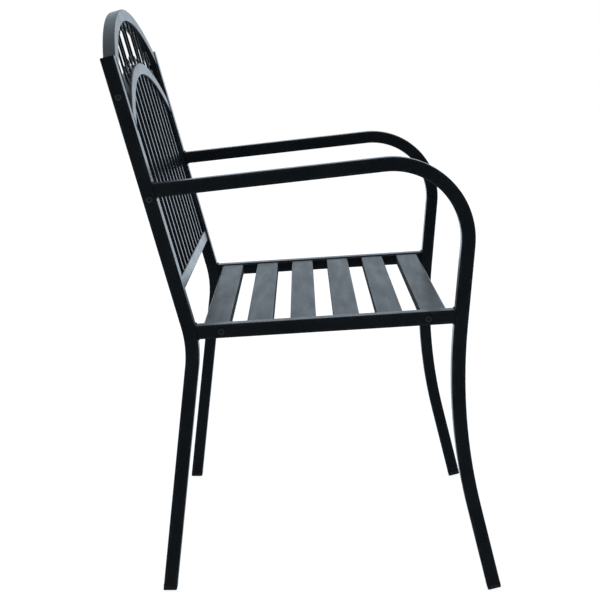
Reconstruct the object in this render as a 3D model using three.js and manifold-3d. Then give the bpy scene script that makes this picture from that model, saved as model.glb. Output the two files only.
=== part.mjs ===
// Steel garden armchair: two bent square-tube side frames, a bolted-in back panel with two
// arches and upright bars, and a bolted-in seat of six cross slats.
// Millimetres, +Z up, the sitter faces -Y, origin at the bottom centre of the bounding box.
import * as THREE from 'three';
import { mergeVertices } from 'three/addons/utils/BufferGeometryUtils.js';
import Module from 'manifold-3d';

// ---- driving dimensions --------------------------------------------------------------------
const FRAME_WIDTH = 600;          // over the two side frames, without the bolt heads
const TUBE = 22;                  // square tube of the side frames
const TUBE_CORNER = 2.5;
const WALL = 1.2;
const GAP = 0.3;                  // clearance kept between pieces that touch

// Side profile. "forward" is measured from the middle of the rear foot, "up" from the floor.
const REAR_LEG_RAKE = 6.3;        // degrees, the foot is behind the seat
const BACK_RECLINE = 15.6;        // degrees
const POST_BEND = { forward: 44.8, up: 406.1, radius: 180 };
const POST_LENGTH = 464.5;        // from the bend to the top of the post
const ARM_RISE = 6.45;            // degrees, the armrest climbs to the front
const ARM_BEND = { forward: 354, up: 574, radius: 118 };
const FRONT_LEG_LEAN = 3.9;       // degrees, below the armrest bend the leg runs back
const LEG_CURVE_TOP = 440;
const LEG_CURVE_RADIUS = 925;
const FRONT_FOOT_SPLAY = 14.7;    // degrees, the front foot runs forward
const FRONT_FOOT_UP = 2.8;        // middle of the front foot's slanted end above the floor
const SEAT_RISE = 3.62;           // degrees
const SEAT_RAIL_REAR = { forward: 79.1, up: 430.3 };
const SEAT_RAIL_ENDS = [-41, 386]; // from there to the middle of the post and of the front leg

// Back panel, in its own plane: across, up along the posts from their bend, and out of the plane.
const PANEL_TUBE = 20;
const PANEL_DEPTH = 20;
const PANEL_CORNER = 2;
const RAIL_DEPTH = 15;
const ARCH_RADIUS = 505;          // to the middle of the arch tube
const OUTER_ARCH_TOP = 531;       // middle of the tube at the crown
const INNER_ARCH_TOP = 437;
const BOTTOM_RAIL_UP = 95;
const BAR_COUNT = 11;
const BAR = { size: 10, corner: 1.2, wall: 1 };
const SIDE_BAR = { thickness: 4, depth: 16, low: 85, high: 462 };
const POST_BOLTS_UP = [240.8, 402.1];

// Ornament between the arches: upright rods whose ends roll up in two arcs. "across" is the upright's
// distance from the middle and "curl" the radius of its first arc, towards the middle if negative.
const SCROLL_ROD = 4;
const INNER_CURL = 0.45;          // second arc's radius as a share of the first's
const INNER_CURL_TURN = 150;      // degrees
const SCROLLS = [
  { name: 'centre', across: 15.6, curl: 8 },
  { name: 'inner', across: 80.4, curl: -8 },
  { name: 'middle', across: 107, curl: 6.5 },
  { name: 'rod', across: 148.5, curl: 0 },
  { name: 'outer', across: 196, curl: 18 },
];

// Seat
const SLAT_COUNT = 6;
const SLAT_WIDTH = 41;
const SLAT_HEIGHT = 18;
const SLAT_CORNER = 2.5;
const SLAT_PITCH = 68.7;
const FIRST_SLAT = 0.5;           // from SEAT_RAIL_REAR to the middle of the rear slat
const SLAT_DROP = 2;              // slat tops below the rail tops
const SEAT_BAR = { thickness: 4, height: 18, overhang: 5 };
const SEAT_BOLTS = [9.1, 333.5];  // from SEAT_RAIL_REAR along the rail

// Fasteners and end pieces
const BOLT = { head: 11, rim: 1.1, dome: 3.3, flat: 5.4, shank: 6, hole: 6.8 };
const POST_CAP_THICKNESS = 2;
const FOOT_CAP_THICKNESS = 8;
const FOOT_CAP_SPARE = 2;         // the floor cuts this much off the slanted rear feet
const PLUG_DEPTH = 12;
const PLUG_CORNER = 1;

const TRIM = 2000;                // size of a trimming block, larger than the chair

// The whole chair is shifted back so that the origin is under the middle of its box.
const CENTRE_FORWARD = 214.37;

// ---- materials -----------------------------------------------------------------------------
const POWDER_COAT = { color: 0x14181c, roughness: 0.42, metalness: 0.35 };
const BLACK_PLASTIC = { color: 0x101214, roughness: 0.55, metalness: 0 };
const BOLT_STEEL = { color: 0x1d2126, roughness: 0.35, metalness: 0.7 };

// ---- helpers -------------------------------------------------------------------------------
const rad = THREE.MathUtils.degToRad;
const wasm = await Module();
wasm.setup();

function toSolid(geometry) {
  const bare = geometry.index ? geometry.toNonIndexed() : geometry.clone();
  bare.deleteAttribute('normal');
  bare.deleteAttribute('uv');
  const merged = mergeVertices(bare, 1e-4);
  return new wasm.Manifold(new wasm.Mesh({
    numProp: 3,
    vertProperties: new Float32Array(merged.attributes.position.array),
    triVerts: new Uint32Array(merged.index.array),
  }));
}

function toGeometry(solid) {
  const mesh = solid.getMesh();
  const geometry = new THREE.BufferGeometry();
  const positions = new Float32Array(mesh.numVert * 3);
  for (let i = 0; i < mesh.numVert; i++) {
    for (let k = 0; k < 3; k++) {
      positions[i * 3 + k] = mesh.vertProperties[i * mesh.numProp + k];
    }
  }
  geometry.setAttribute('position', new THREE.BufferAttribute(positions, 3));
  geometry.setIndex(new THREE.BufferAttribute(new Uint32Array(mesh.triVerts), 1));
  const shaded = geometry.toNonIndexed();
  shaded.computeVertexNormals();
  return shaded;
}

function cut(geometry, ...cutters) {
  let solid = toSolid(geometry);
  for (const cutter of cutters) {
    solid = solid.subtract(toSolid(cutter));
  }
  return toGeometry(solid);
}

// The part of a geometry between x = -half and x = half.
function keptBetween(geometry, half) {
  return toGeometry(toSolid(geometry).intersect(toSolid(box(2 * half, TRIM, TRIM, 0, 0, 0))));
}

function join(...geometries) {
  let solid = toSolid(geometries[0]);
  for (const geometry of geometries.slice(1)) {
    solid = solid.add(toSolid(geometry));
  }
  return toGeometry(solid);
}

// A closed outline of a rectangle with rounded corners, two chords to a corner.
function roundedOutline(width, height, corner) {
  const points = [];
  const centres = [[1, 1], [-1, 1], [-1, -1], [1, -1]];
  centres.forEach(([sx, sy], quadrant) => {
    for (let step = 0; step <= 2; step++) {
      const angle = (quadrant + step / 2) * Math.PI / 2;
      points.push(new THREE.Vector2(
        sx * (width / 2 - corner) + corner * Math.cos(angle),
        sy * (height / 2 - corner) + corner * Math.sin(angle),
      ));
    }
  });
  return points;
}

function tubeSection(width, height, corner, wall) {
  const section = new THREE.Shape(roundedOutline(width, height, corner));
  if (wall > 0) {
    const x = width / 2 - wall;
    const y = height / 2 - wall;
    const inside = [[x, y], [-x, y], [-x, -y], [x, -y]];
    section.holes.push(new THREE.Path(inside.map(([px, py]) => new THREE.Vector2(px, py))));
  }
  return section;
}

// A centre line given by its own stations, so that straights cost one step and bends several.
class StationCurve extends THREE.Curve {
  constructor(stations) {
    super();
    this.stations = stations;
  }

  getUtoTmapping(u) {
    return u;
  }

  station(t) {
    return this.stations[Math.round(t * (this.stations.length - 1))];
  }

  getPoint(t, target = new THREE.Vector3()) {
    return target.copy(this.station(t).at);
  }

  getTangent(t, target = new THREE.Vector3()) {
    return target.copy(this.station(t).along);
  }
}

function sweep(section, stations) {
  return new THREE.ExtrudeGeometry(section, {
    steps: stations.length - 1,
    extrudePath: new StationCurve(stations),
    curveSegments: 4,
  });
}

// Points of the side profile: forward is -Y.
function profileStation(forward, up, forwardStep, upStep) {
  return {
    at: new THREE.Vector3(0, -forward, up),
    along: new THREE.Vector3(0, -forwardStep, upStep).normalize(),
  };
}

// An arc of the side profile about a centre, from one angle to another, angles from forward to up.
function profileArc(centre, radius, fromAngle, toAngle, steps) {
  const stations = [];
  const turn = Math.sign(toAngle - fromAngle);
  for (let i = 0; i <= steps; i++) {
    const angle = rad(fromAngle + (toAngle - fromAngle) * i / steps);
    stations.push(profileStation(
      centre.forward + radius * Math.cos(angle),
      centre.up + radius * Math.sin(angle),
      -turn * Math.sin(angle),
      turn * Math.cos(angle),
    ));
  }
  return stations;
}

function extended(station, distance) {
  return {
    at: station.at.clone().addScaledVector(station.along, distance),
    along: station.along,
  };
}

function cylinderAcross(diameter, length, x, y, z) {
  const geometry = new THREE.CylinderGeometry(diameter / 2, diameter / 2, length, 16);
  geometry.rotateZ(Math.PI / 2);
  geometry.translate(x, y, z);
  return geometry;
}

function box(sizeX, sizeY, sizeZ, x, y, z) {
  const geometry = new THREE.BoxGeometry(sizeX, sizeY, sizeZ);
  geometry.translate(x, y, z);
  return geometry;
}

const chair = new THREE.Group();
const standing = new THREE.Group();
standing.position.y = CENTRE_FORWARD;
chair.add(standing);

function add(parent, name, geometry, finish) {
  const mesh = new THREE.Mesh(geometry, new THREE.MeshStandardMaterial(finish));
  mesh.name = name;
  parent.add(mesh);
  return mesh;
}

const SIDES = [['left', 1], ['right', -1]];
const FRAME_X = FRAME_WIDTH / 2 - TUBE / 2;
const INNER_X = FRAME_WIDTH / 2 - TUBE;

// ---- side profile centre lines -------------------------------------------------------------
function rearPostLine(footShortening) {
  const bend = POST_BEND;
  const halfTurn = rad((REAR_LEG_RAKE + BACK_RECLINE) / 2);
  const tangent = bend.radius * Math.tan(halfTurn);
  const rake = rad(REAR_LEG_RAKE);
  const recline = rad(BACK_RECLINE);
  const start = {
    forward: bend.forward - tangent * Math.sin(rake),
    up: bend.up - tangent * Math.cos(rake),
  };
  const centre = {
    forward: start.forward - bend.radius * Math.cos(rake),
    up: start.up + bend.radius * Math.sin(rake),
  };
  const arc = profileArc(centre, bend.radius, -REAR_LEG_RAKE, BACK_RECLINE, 5);
  const legLength = start.up / Math.cos(rake) - footShortening;
  const top = profileStation(
    bend.forward - POST_LENGTH * Math.sin(recline),
    bend.up + POST_LENGTH * Math.cos(recline),
    -Math.sin(recline),
    Math.cos(recline),
  );
  return [extended(arc[0], -legLength), ...arc, extended(top, -POST_CAP_THICKNESS)];
}

// How far behind an armrest station, along the armrest, the straight post's middle is.
function distanceToPost(station) {
  const normal = new THREE.Vector3(0, -Math.cos(rad(BACK_RECLINE)), Math.sin(rad(BACK_RECLINE)));
  const bend = new THREE.Vector3(0, -POST_BEND.forward, POST_BEND.up);
  return station.at.clone().sub(bend).dot(normal) / station.along.dot(normal);
}

function armAndLegLine(footShortening) {
  const bend = ARM_BEND;
  const lean = rad(FRONT_LEG_LEAN);
  const splay = rad(FRONT_FOOT_SPLAY);
  const armBend = profileArc(bend, bend.radius, 90 + ARM_RISE, -FRONT_LEG_LEAN, 14);
  const armEnd = extended(armBend[0], -distanceToPost(armBend[0]));
  const legStart = armBend[armBend.length - 1].at;
  const curveTop = {
    forward: -legStart.y - (legStart.z - LEG_CURVE_TOP) * Math.tan(lean),
    up: LEG_CURVE_TOP,
  };
  const curveCentre = {
    forward: curveTop.forward + LEG_CURVE_RADIUS * Math.cos(lean),
    up: curveTop.up - LEG_CURVE_RADIUS * Math.sin(lean),
  };
  const curve = profileArc(
    curveCentre, LEG_CURVE_RADIUS, 180 - FRONT_LEG_LEAN, 180 + FRONT_FOOT_SPLAY, 8,
  );
  const last = curve[curve.length - 1];
  const legLength = (last.at.z - FRONT_FOOT_UP) / Math.cos(splay) - footShortening;
  return [armEnd, ...armBend, ...curve, extended(last, legLength)];
}

function seatRailLine() {
  const rise = rad(SEAT_RISE);
  const rear = profileStation(
    SEAT_RAIL_REAR.forward, SEAT_RAIL_REAR.up, Math.cos(rise), Math.sin(rise),
  );
  return SEAT_RAIL_ENDS.map((distance) => extended(rear, distance));
}

const postLine = rearPostLine(FOOT_CAP_THICKNESS);
const armLine = armAndLegLine(FOOT_CAP_THICKNESS);
const tube = tubeSection(TUBE, TUBE, TUBE_CORNER, WALL);
const clearance = tubeSection(TUBE + 2 * GAP, TUBE + 2 * GAP, TUBE_CORNER, 0);
const postClearance = sweep(clearance, postLine);
const armClearance = sweep(clearance, armLine);

function backPoint(up) {
  const recline = rad(BACK_RECLINE);
  return {
    y: -(POST_BEND.forward - up * Math.sin(recline)),
    z: POST_BEND.up + up * Math.cos(recline),
  };
}

function seatPoint(along, above) {
  const rise = rad(SEAT_RISE);
  return {
    y: -(SEAT_RAIL_REAR.forward + along * Math.cos(rise) - above * Math.sin(rise)),
    z: SEAT_RAIL_REAR.up + along * Math.sin(rise) + above * Math.cos(rise),
  };
}

// ---- side frames ---------------------------------------------------------------------------
function addSideFrame(side, sign) {
  const frame = new THREE.Group();
  frame.position.x = sign * FRAME_X;
  standing.add(frame);

  const postHoles = POST_BOLTS_UP.map((up) => {
    const at = backPoint(up);
    return cylinderAcross(BOLT.hole, 2 * TUBE, 0, at.y, at.z);
  });
  const railHoles = SEAT_BOLTS.map((along) => {
    const at = seatPoint(along, 0);
    return cylinderAcross(BOLT.hole, 2 * TUBE, 0, at.y, at.z);
  });
  const post = cut(sweep(tube, postLine), ...postHoles);
  const arm = cut(sweep(tube, armLine), postClearance);
  const rail = cut(sweep(tube, seatRailLine()), postClearance, armClearance, ...railHoles);
  add(frame, `rear_post_and_leg_${side}`, post, POWDER_COAT);
  add(frame, `armrest_and_front_leg_${side}`, arm, POWDER_COAT);
  add(frame, `seat_side_rail_${side}`, rail, POWDER_COAT);
}

// ---- end pieces ----------------------------------------------------------------------------
// A plug and its flange, built along +Z from the tube's end and turned to follow the tube.
function endPlug(flangeThickness) {
  const inside = TUBE - 2 * WALL - 2 * GAP;
  const flange = new THREE.ExtrudeGeometry(
    tubeSection(TUBE, TUBE, TUBE_CORNER, 0),
    { depth: flangeThickness - GAP, bevelEnabled: false },
  );
  flange.translate(0, 0, GAP);
  const plug = new THREE.ExtrudeGeometry(
    tubeSection(inside, inside, PLUG_CORNER, 0),
    { depth: PLUG_DEPTH + flangeThickness / 2, bevelEnabled: false },
  );
  plug.translate(0, 0, -PLUG_DEPTH);
  return join(flange, plug);
}

// End of a centre line, with the direction that points out of the tube.
function outwardEnd(line, atStart) {
  const station = atStart ? line[0] : line[line.length - 1];
  const along = atStart ? station.along.clone().negate() : station.along.clone();
  return { at: station.at, along };
}

function addEndPlug(name, sign, end, thickness) {
  const turn = Math.atan2(-end.along.y, end.along.z);
  const geometry = endPlug(thickness);
  geometry.rotateX(turn);
  geometry.translate(sign * FRAME_X, end.at.y, end.at.z);
  const floor = box(TRIM, TRIM, TRIM, 0, 0, -TRIM / 2);
  add(standing, name, cut(geometry, floor), BLACK_PLASTIC);
}

// ---- back panel ----------------------------------------------------------------------------
const backPanel = new THREE.Group();
backPanel.position.set(0, -POST_BEND.forward, POST_BEND.up);
backPanel.rotation.x = -rad(BACK_RECLINE);
standing.add(backPanel);

// In the panel's own axes X runs across, Z up along the posts, and -Y out of the front.
const PANEL_END = INNER_X - GAP - SIDE_BAR.thickness - GAP;

function panelStation(across, up, acrossStep, upStep) {
  return {
    at: new THREE.Vector3(across, 0, up),
    along: new THREE.Vector3(acrossStep, 0, upStep).normalize(),
  };
}

function archHeight(top, across, offset) {
  const radius = ARCH_RADIUS + offset;
  return top - ARCH_RADIUS + Math.sqrt(radius * radius - across * across);
}

const ARCH_STEPS = 20;

function archGeometry(top) {
  const reach = PANEL_END + PANEL_TUBE;
  const half = Math.asin(reach / ARCH_RADIUS);
  const stations = [];
  for (let i = 0; i <= ARCH_STEPS; i++) {
    const angle = half * (2 * i / ARCH_STEPS - 1);
    stations.push(panelStation(
      ARCH_RADIUS * Math.sin(angle),
      top - ARCH_RADIUS + ARCH_RADIUS * Math.cos(angle),
      Math.cos(angle),
      -Math.sin(angle),
    ));
  }
  const section = tubeSection(PANEL_TUBE, PANEL_DEPTH, PANEL_CORNER, WALL);
  return keptBetween(sweep(section, stations), PANEL_END);
}

function bottomRailGeometry() {
  const section = tubeSection(PANEL_TUBE, RAIL_DEPTH, PANEL_CORNER, WALL);
  return sweep(section, [
    panelStation(-PANEL_END, BOTTOM_RAIL_UP, 1, 0),
    panelStation(PANEL_END, BOTTOM_RAIL_UP, 1, 0),
  ]);
}

// A square upright whose top follows the underside of the inner arch.
function backBarGeometry(across) {
  const low = BOTTOM_RAIL_UP + PANEL_TUBE / 2 + GAP;
  const bar = sweep(tubeSection(BAR.size, BAR.size, BAR.corner, BAR.wall), [
    panelStation(across, low, 0, 1),
    panelStation(across, archHeight(INNER_ARCH_TOP, across, 0), 0, 1),
  ]);
  const from = across - BAR.size;
  const to = across + BAR.size;
  const steps = 4;
  const outline = [];
  for (let i = 0; i <= steps; i++) {
    const x = from + (to - from) * i / steps;
    outline.push(new THREE.Vector2(x, archHeight(INNER_ARCH_TOP, x, -PANEL_TUBE / 2 - GAP)));
  }
  outline.push(new THREE.Vector2(to, OUTER_ARCH_TOP), new THREE.Vector2(from, OUTER_ARCH_TOP));
  const arch = new THREE.ExtrudeGeometry(
    new THREE.Shape(outline), { depth: 2 * PANEL_DEPTH, bevelEnabled: false },
  );
  arch.translate(0, 0, -PANEL_DEPTH);
  arch.rotateX(Math.PI / 2);
  return cut(bar, arch);
}

function sideBarGeometry(sign) {
  const { thickness, depth, low, high } = SIDE_BAR;
  const across = sign * (INNER_X - GAP - thickness / 2);
  const bar = box(thickness, depth, high - low, across, 0, (high + low) / 2);
  const holes = POST_BOLTS_UP.map((up) => cylinderAcross(BOLT.hole, TUBE, across, 0, up));
  return cut(bar, ...holes);
}

// Stations on an arc of the panel about (across, up), from one angle to another in degrees.
function panelArc(across, up, radius, fromAngle, toAngle, steps) {
  const turn = Math.sign(toAngle - fromAngle);
  const stations = [];
  for (let i = 0; i <= steps; i++) {
    const angle = rad(fromAngle + (toAngle - fromAngle) * i / steps);
    stations.push(panelStation(
      across + radius * Math.cos(angle),
      up + radius * Math.sin(angle),
      -turn * Math.sin(angle),
      turn * Math.cos(angle),
    ));
  }
  return stations;
}

// The rolled-up upper end of an upright, drawn for a curl to the right and measured from the upright.
function curlStations(radius, up) {
  const second = radius * INNER_CURL;
  const first = panelArc(radius, up, radius, 180, 0, 6);
  const rest = panelArc(2 * radius - second, up, second, 0, -INNER_CURL_TURN, 5);
  return [...first, ...rest.slice(1)];
}

function mirroredStation({ at, along }, acrossSign, upSign) {
  return {
    at: new THREE.Vector3(acrossSign * at.x, 0, upSign * at.z),
    along: new THREE.Vector3(acrossSign * along.x, 0, upSign * along.z),
  };
}

// An upright with both ends rolled up to the same side, each just clear of its arch.
function curledLine(across, curl) {
  const radius = Math.abs(curl);
  const side = Math.sign(curl);
  const crest = across + curl;
  const slant = Math.cos(Math.asin(crest / ARCH_RADIUS));
  const clear = (radius + SCROLL_ROD / 2 + GAP) / slant;
  const low = archHeight(INNER_ARCH_TOP, crest, PANEL_TUBE / 2) + clear;
  const high = archHeight(OUTER_ARCH_TOP, crest, -PANEL_TUBE / 2) - clear;
  const upper = curlStations(radius, high).map((station) => mirroredStation(station, side, 1));
  const lower = curlStations(radius, -low).map((station) => mirroredStation(station, side, -1));
  const reversed = lower.reverse().map(({ at, along }) => ({ at, along: along.negate() }));
  const line = [...reversed, ...upper];
  line.forEach((station) => {
    station.at.x += across;
  });
  return line;
}

function straightLine(across) {
  const inner = Math.abs(across) - SCROLL_ROD / 2;
  const outer = Math.abs(across) + SCROLL_ROD / 2;
  return [
    panelStation(across, archHeight(INNER_ARCH_TOP, inner, PANEL_TUBE / 2) + GAP, 0, 1),
    panelStation(across, archHeight(OUTER_ARCH_TOP, outer, -PANEL_TUBE / 2) - GAP, 0, 1),
  ];
}

function scrollGeometry(across, curl) {
  const section = new THREE.Shape();
  section.absarc(0, 0, SCROLL_ROD / 2, 0, 2 * Math.PI);
  return toGeometry(toSolid(sweep(section, curl === 0 ? straightLine(across) : curledLine(across, curl))));
}

function addBackPanel() {
  add(backPanel, 'back_outer_arch', archGeometry(OUTER_ARCH_TOP), POWDER_COAT);
  add(backPanel, 'back_inner_arch', archGeometry(INNER_ARCH_TOP), POWDER_COAT);
  add(backPanel, 'back_bottom_rail', bottomRailGeometry(), POWDER_COAT);
  for (let i = 0; i < BAR_COUNT; i++) {
    const across = (i + 1) * 2 * INNER_X / (BAR_COUNT + 1) - INNER_X;
    const number = String(i + 1).padStart(2, '0');
    add(backPanel, `back_bar_${number}`, backBarGeometry(across), POWDER_COAT);
  }
  for (const [side, sign] of SIDES) {
    add(backPanel, `back_side_bar_${side}`, sideBarGeometry(sign), POWDER_COAT);
  }
  for (const { name, across, curl } of SCROLLS) {
    for (const [side, sign] of SIDES) {
      const geometry = scrollGeometry(sign * across, sign * curl);
      add(backPanel, `back_scroll_${name}_${side}`, geometry, POWDER_COAT);
    }
  }
}

// ---- seat ----------------------------------------------------------------------------------
const seat = new THREE.Group();
seat.position.set(0, -SEAT_RAIL_REAR.forward, SEAT_RAIL_REAR.up);
seat.rotation.x = -rad(SEAT_RISE);
standing.add(seat);

// In the seat's own axes -Y runs to the front along the rails and Z up from their middle.
function slatGeometry(along) {
  const length = 2 * PANEL_END;
  const section = tubeSection(SLAT_WIDTH, SLAT_HEIGHT, SLAT_CORNER, WALL);
  const geometry = new THREE.ExtrudeGeometry(section, { depth: length, bevelEnabled: false });
  geometry.translate(0, 0, -length / 2);
  geometry.rotateX(Math.PI / 2);
  geometry.rotateZ(Math.PI / 2);
  geometry.translate(0, -along, TUBE / 2 - SLAT_DROP - SLAT_HEIGHT / 2);
  return geometry;
}

function seatBarGeometry(sign) {
  const { thickness, height, overhang } = SEAT_BAR;
  const from = FIRST_SLAT - SLAT_WIDTH / 2 - overhang;
  const to = FIRST_SLAT + (SLAT_COUNT - 1) * SLAT_PITCH + SLAT_WIDTH / 2 + overhang;
  const across = sign * (INNER_X - GAP - thickness / 2);
  const up = TUBE / 2 - SLAT_DROP - height / 2;
  const bar = box(thickness, to - from, height, across, -(from + to) / 2, up);
  const holes = SEAT_BOLTS.map((along) => cylinderAcross(BOLT.hole, TUBE, across, -along, 0));
  return cut(bar, ...holes);
}

function addSeat() {
  for (let i = 0; i < SLAT_COUNT; i++) {
    const geometry = slatGeometry(FIRST_SLAT + i * SLAT_PITCH);
    add(seat, `seat_slat_${i + 1}`, geometry, POWDER_COAT);
  }
  for (const [side, sign] of SIDES) {
    add(seat, `seat_side_bar_${side}`, seatBarGeometry(sign), POWDER_COAT);
  }
}

// ---- bolts ---------------------------------------------------------------------------------
// Button-head bolt along +X with the underside of its head at X = 0 and the shank towards -X.
function boltGeometry(shankLength) {
  const { head, rim, dome, flat, shank } = BOLT;
  const profile = [
    new THREE.Vector2(0, -shankLength),
    new THREE.Vector2(shank / 2, -shankLength),
    new THREE.Vector2(shank / 2, GAP),
    new THREE.Vector2(head / 2, GAP),
  ];
  for (const angle of [0, Math.PI / 4, Math.PI / 2]) {
    profile.push(new THREE.Vector2(
      flat / 2 + (head - flat) / 2 * Math.cos(angle),
      rim + (dome - rim) * Math.sin(angle),
    ));
  }
  profile.push(new THREE.Vector2(0, dome));
  const geometry = new THREE.LatheGeometry(profile, 12);
  geometry.rotateZ(-Math.PI / 2);
  return geometry;
}

function addBolt(parent, name, sign, y, z) {
  const mesh = add(parent, name, boltGeometry(TUBE + SIDE_BAR.thickness), BOLT_STEEL);
  mesh.position.set(sign * FRAME_WIDTH / 2, y, z);
  if (sign < 0) {
    mesh.rotation.z = Math.PI;
  }
}

function addBolts() {
  for (const [side, sign] of SIDES) {
    POST_BOLTS_UP.forEach((up, index) => {
      addBolt(backPanel, `post_bolt_${['lower', 'upper'][index]}_${side}`, sign, 0, up);
    });
    SEAT_BOLTS.forEach((along, index) => {
      addBolt(seat, `seat_bolt_${['rear', 'front'][index]}_${side}`, sign, -along, 0);
    });
  }
}

// ---- assembly ------------------------------------------------------------------------------
for (const [side, sign] of SIDES) {
  addSideFrame(side, sign);
  addEndPlug(`post_cap_${side}`, sign, outwardEnd(postLine, false), POST_CAP_THICKNESS);
  addEndPlug(`foot_cap_rear_${side}`, sign, outwardEnd(postLine, true), FOOT_CAP_THICKNESS + FOOT_CAP_SPARE);
  addEndPlug(`foot_cap_front_${side}`, sign, outwardEnd(armLine, false), FOOT_CAP_THICKNESS);
}
addBackPanel();
addSeat();
addBolts();

export default chair;
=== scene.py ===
"""Looks of the steel garden armchair.

Each faceted CAD node is replaced by a finely rounded piece of the same size in the same place, and
weld beads, bolt sockets and moulded caps are added. Metres, +Z up, the sitter faces -Y.
"""

import math

import bmesh
import bpy
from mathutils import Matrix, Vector


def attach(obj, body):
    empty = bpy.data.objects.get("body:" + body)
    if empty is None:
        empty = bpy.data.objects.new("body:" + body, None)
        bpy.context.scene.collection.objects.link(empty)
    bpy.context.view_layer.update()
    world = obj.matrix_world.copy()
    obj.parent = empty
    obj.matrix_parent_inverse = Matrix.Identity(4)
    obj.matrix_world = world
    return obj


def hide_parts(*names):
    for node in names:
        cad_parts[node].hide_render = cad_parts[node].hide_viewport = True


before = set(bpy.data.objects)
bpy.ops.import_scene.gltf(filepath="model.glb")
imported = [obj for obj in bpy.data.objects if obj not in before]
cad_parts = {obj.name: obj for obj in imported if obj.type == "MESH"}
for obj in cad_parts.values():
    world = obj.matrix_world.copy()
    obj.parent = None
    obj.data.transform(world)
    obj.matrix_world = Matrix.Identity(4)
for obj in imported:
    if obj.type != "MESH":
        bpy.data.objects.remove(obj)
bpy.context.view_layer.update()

# ---- dimensions, the same as the CAD model's ------------------------------------------------
FRAME_WIDTH = 0.600
TUBE = 0.022
TUBE_CORNER = 0.0025
GAP = 0.0003
CENTRE_FORWARD = 0.21437         # the origin, forward of the middle of the rear foot

# Side profile: forward from the middle of the rear foot, up from the floor, angles in degrees.
REAR_LEG_RAKE = 6.3
BACK_RECLINE = 15.6
POST_BEND = (0.0448, 0.4061)
POST_BEND_RADIUS = 0.180
POST_LENGTH = 0.4645
ARM_RISE = 6.45
ARM_BEND = (0.354, 0.574)
ARM_BEND_RADIUS = 0.118
FRONT_LEG_LEAN = 3.9
LEG_CURVE_TOP = 0.440
LEG_CURVE_RADIUS = 0.925
FRONT_FOOT_SPLAY = 14.7
FRONT_FOOT_UP = 0.0028
SEAT_RISE = 3.62
SEAT_RAIL_REAR = (0.0791, 0.4303)

# Back panel: across, and up along the posts from their bend.
PANEL_TUBE = 0.020
PANEL_DEPTH = 0.020
PANEL_CORNER = 0.002
RAIL_DEPTH = 0.015
ARCH_RADIUS = 0.505
OUTER_ARCH_TOP = 0.531
INNER_ARCH_TOP = 0.437
BOTTOM_RAIL_UP = 0.095
BAR_COUNT = 11
BAR_SIZE = 0.010
BAR_CORNER = 0.0012
SIDE_BAR = 0.004
SIDE_BAR_DEPTH = 0.016
SIDE_BAR_CORNER = 0.0008
SIDE_BAR_LOW = 0.085
SIDE_BAR_HIGH = 0.462
POST_BOLTS_UP = (0.2408, 0.4021)

# Ornament rods: each upright's distance from the middle and the radius of its curled ends' first arc,
# towards the middle if negative.
SCROLL_ROD = 0.004
INNER_CURL = 0.45                # the second arc's radius as a share of the first's
INNER_CURL_TURN = 150
SCROLLS = (
    ("centre", 0.0156, 0.0080),
    ("inner", 0.0804, -0.0080),
    ("middle", 0.107, 0.0065),
    ("rod", 0.1485, 0.0),
    ("outer", 0.196, 0.018),
)

# Seat: along the side rails from SEAT_RAIL_REAR, and up from the middle of the rails.
SLAT_COUNT = 6
SLAT_WIDTH = 0.041
SLAT_HEIGHT = 0.018
SLAT_CORNER = 0.0025
SLAT_PITCH = 0.0687
FIRST_SLAT = 0.0005
SLAT_DROP = 0.002
SEAT_BAR_OVERHANG = 0.005
SEAT_BOLTS = (0.0091, 0.3335)

BOLT_HEAD = 0.011
BOLT_DOME = 0.0033
POST_CAP = 0.002                 # how far the caps stand out of the tubes
FOOT_CAP = 0.008

SIDES = (("left", 1), ("right", -1))
ACROSS = Vector((1, 0, 0))
FRAME_X = FRAME_WIDTH / 2 - TUBE / 2
INNER_X = FRAME_WIDTH / 2 - TUBE
PANEL_END = INNER_X - GAP - SIDE_BAR - GAP


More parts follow.
